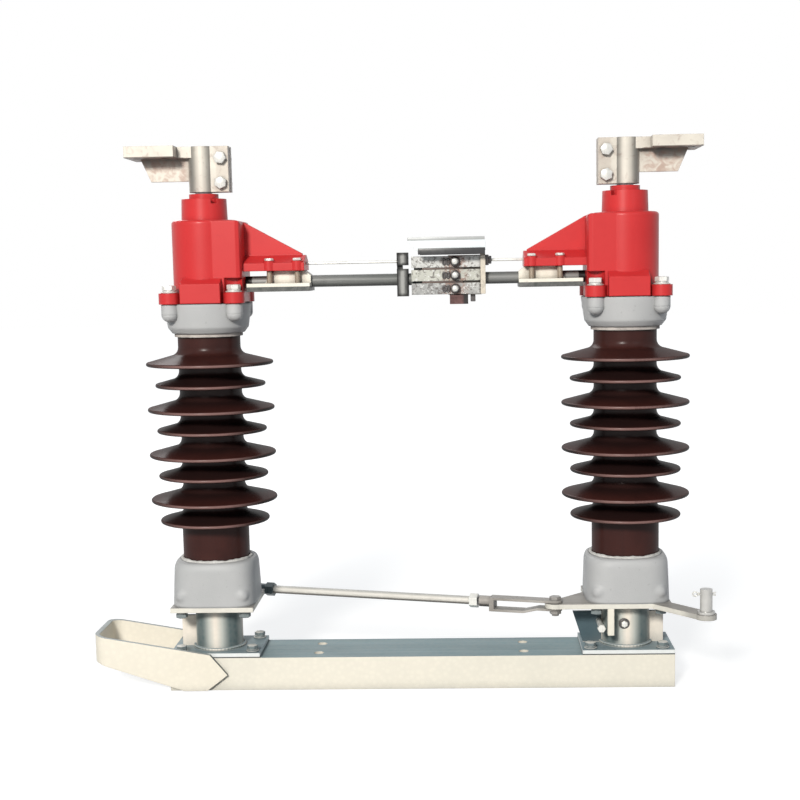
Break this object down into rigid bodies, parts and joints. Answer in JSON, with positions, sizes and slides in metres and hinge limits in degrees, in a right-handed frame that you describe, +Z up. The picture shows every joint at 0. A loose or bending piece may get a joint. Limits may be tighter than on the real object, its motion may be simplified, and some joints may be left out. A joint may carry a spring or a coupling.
{
  "type": "substation disconnect switch",
  "caption": "Centre-break disconnect switch pole: turning ribbed insulators on a channel base, arms meeting in a finger contact, crossed linkage and terminals.",
  "frame": {"origin": "middle of the base's underside, on the floor", "axes": "+X along the base toward the column with the operating pin, +Y to the back, +Z up"},
  "size_m": [0.8895, 0.2545, 0.7825],
  "materials": {
    "galvanised": "dull galvanised",
    "shaft_steel": "machined",
    "zinc_fasteners": "bright zinc",
    "grey_casting": "grey paint",
    "brown_glaze": "gloss",
    "cement": "matte",
    "red_paint": "satin",
    "tinned_metal": "dull cast",
    "contact_copper": "tinned, dull",
    "brown_block": "matte",
    "cover_sheet": "bright sheet"
  },
  "bodies": {
    "base": {"base_channel": "galvanised", "left_bearing": "galvanised", "right_bearing": "galvanised", "stop_bolt": "zinc_fasteners", "end_yoke": "galvanised"},
    "right_column": {"right_lever": "galvanised", "right_shaft": "shaft_steel", "operating_pin": "zinc_fasteners", "stop_lug": "galvanised", "right_lower_fitting": "grey_casting", "right_lower_cement": "cement", "right_insulator": "brown_glaze", "right_upper_cement": "cement", "right_upper_fitting": "grey_casting", "right_head": "red_paint", "right_clamp": "tinned_metal", "right_bar": "contact_copper", "right_guard_rod": "zinc_fasteners", "finger_carrier": "tinned_metal", "contact_fingers": "contact_copper", "spring_bolts": "zinc_fasteners", "drop_block": "brown_block", "rain_cover": "cover_sheet"},
    "left_column": {"left_lever": "galvanised", "left_shaft": "shaft_steel", "left_lower_fitting": "grey_casting", "left_lower_cement": "cement", "left_insulator": "brown_glaze", "left_upper_cement": "cement", "left_upper_fitting": "grey_casting", "left_head": "red_paint", "left_clamp": "tinned_metal", "left_bar": "contact_copper", "left_guard_rod": "zinc_fasteners", "contact_post": "contact_copper"},
    "cross_rod": {"left_fork": "galvanised", "left_pivot_bolt": "zinc_fasteners", "rod_tube": "galvanised", "rod_nuts": "zinc_fasteners"},
    "rod_end": {"right_fork": "galvanised", "right_pivot_bolt": "zinc_fasteners"},
    "left_terminal": {"left_stud": "tinned_metal", "left_terminal": "tinned_metal"},
    "right_terminal": {"right_stud": "tinned_metal", "right_terminal": "tinned_metal"}
  },
  "joints": [
    {"name": "right_column_turn", "type": "hinge", "parent": "base", "child": "right_column", "pos_m": [0.3, 0, 0.118], "axis": [0, 0, 1], "range_deg": [0, 90]},
    {"name": "left_column_turn", "type": "hinge", "parent": "base", "child": "left_column", "pos_m": [-0.3, 0, 0.118], "axis": [0, 0, -1], "range_deg": [0, 90]},
    {"name": "cross_rod_pivot", "type": "hinge", "parent": "left_column", "child": "cross_rod", "pos_m": [-0.346, 0.105, 0.1215], "axis": [0, 0, 1], "range_deg": [0, 90]},
    {"name": "rod_end_pivot", "type": "hinge", "parent": "right_column", "child": "rod_end", "pos_m": [0.195, -0.046, 0.1215], "axis": [0, 0, -1], "range_deg": [0, 90]},
    {"name": "left_terminal_swivel", "type": "hinge", "parent": "left_column", "child": "left_terminal", "pos_m": [-0.3, 0, 0.716], "axis": [0, 0, 1], "range_deg": [0, 90]},
    {"name": "right_terminal_swivel", "type": "hinge", "parent": "right_column", "child": "right_terminal", "pos_m": [0.3, 0, 0.716], "axis": [0, 0, -1], "range_deg": [0, 90]}
  ],
  "couplings": [
    {"joint": "left_column_turn", "follows": "right_column_turn", "ratio": 1},
    {"joint": "cross_rod_pivot", "follows": "right_column_turn", "ratio": 1},
    {"joint": "rod_end_pivot", "follows": "right_column_turn", "ratio": 1},
    {"joint": "left_terminal_swivel", "follows": "right_column_turn", "ratio": 1},
    {"joint": "right_terminal_swivel", "follows": "right_column_turn", "ratio": 1}
  ]
}
